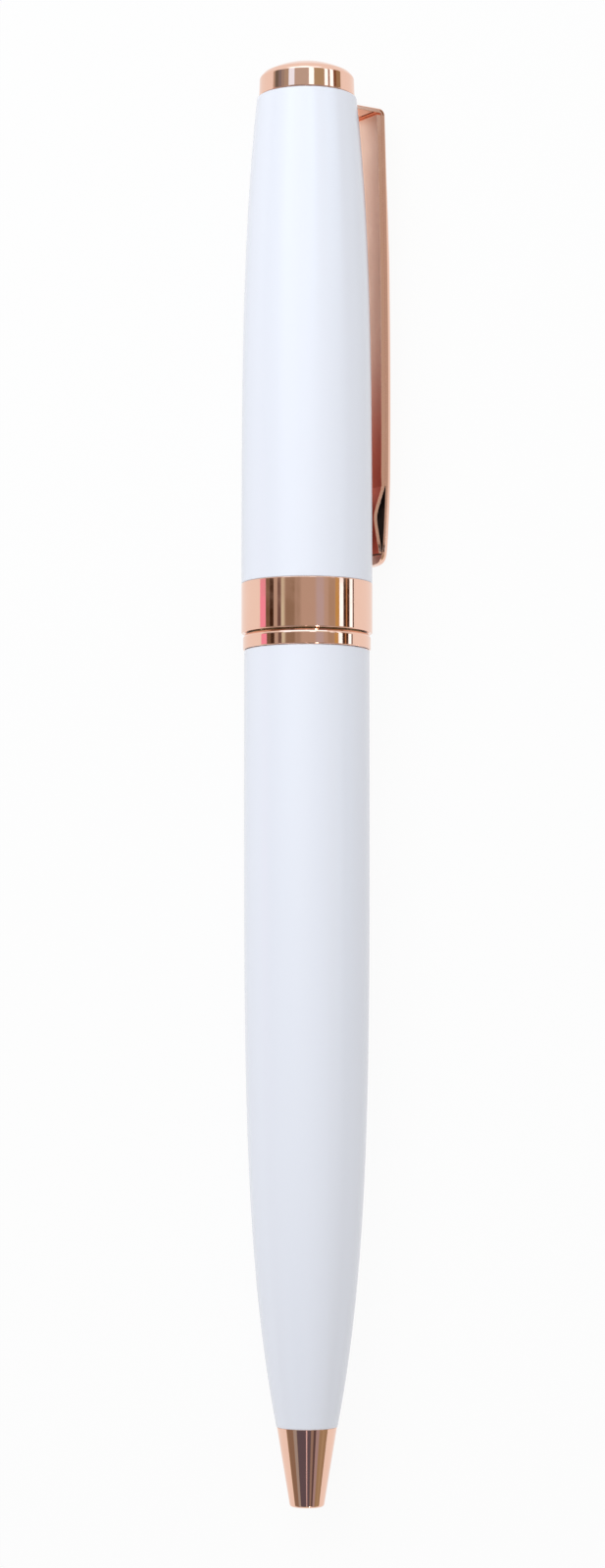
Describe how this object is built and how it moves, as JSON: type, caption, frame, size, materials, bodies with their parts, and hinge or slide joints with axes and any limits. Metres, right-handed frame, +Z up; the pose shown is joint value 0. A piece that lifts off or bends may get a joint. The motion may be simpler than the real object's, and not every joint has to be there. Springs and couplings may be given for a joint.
{
  "type": "twist-action ballpoint pen",
  "caption": "Slim twist-action ballpoint pen in white lacquer with rose-gold tip, centre band, crown and folded spring clip; the halves pull apart for the cartridge.",
  "frame": {"origin": "on the surface the pen lies on, under the middle of its outline", "axes": "+X along the pen from the writing end towards the crown, +Z up, the pocket clip hangs towards -Y"},
  "size_m": [0.1378, 0.0144, 0.0125],
  "materials": {
    "lacquer": "polished white lacquer over a brass tube",
    "rose_gold": "polished rose-gold plate",
    "brass": "turned brass",
    "steel": "turned stainless steel",
    "cartridge_metal": "satin nickel-plated tube",
    "nylon": "moulded acetal",
    "dark_plastic": "moulded black plastic",
    "rubber": "matt black rubber"
  },
  "bodies": {
    "lower_half": {"lower_barrel": "lacquer", "tip_cone": "rose_gold", "trim_ring": "rose_gold", "barrel_bush": "brass"},
    "mechanism": {"mechanism_nose": "brass", "friction_seal": "rubber", "guide_tube": "steel"},
    "cartridge": {"cartridge_tube": "cartridge_metal", "plunger": "nylon", "follower_pin": "steel", "cartridge_adapter": "dark_plastic", "point_holder": "steel", "writing_ball": "steel"},
    "upper_half": {"upper_barrel": "lacquer", "centre_band": "rose_gold", "cam_sleeve": "nylon", "mechanism_casing": "brass", "casing_plug": "brass", "drive_bush": "brass", "top_insert": "brass", "lock_washer": "steel", "stud_nut": "steel", "crown_stud": "steel", "crown": "rose_gold"},
    "clip": {"pocket_clip": "rose_gold"}
  },
  "joints": [
    {"name": "halves_pull", "type": "slide", "parent": "lower_half", "child": "mechanism", "axis": [1, 0, 0], "range_m": [0, 0.085]},
    {"name": "twist", "type": "hinge", "parent": "mechanism", "child": "upper_half", "pos_m": [0.01551, 0.00091, 0.00627], "axis": [-1, 0, 0], "range_deg": [0, 180]},
    {"name": "cartridge_slide", "type": "slide", "parent": "mechanism", "child": "cartridge", "axis": [-1, 0, 0], "range_m": [0, 0.0047]},
    {"name": "clip_flex", "type": "hinge", "parent": "upper_half", "child": "clip", "pos_m": [0.06486, -0.00277, 0.00385], "axis": [0, -0.5506, 0.8348], "range_deg": [0, 3.5], "stiffness_Nm_per_rad": 1.5}
  ],
  "couplings": [
    {"joint": "cartridge_slide", "follows": "twist", "m_per_rad": 0.0014961}
  ]
}
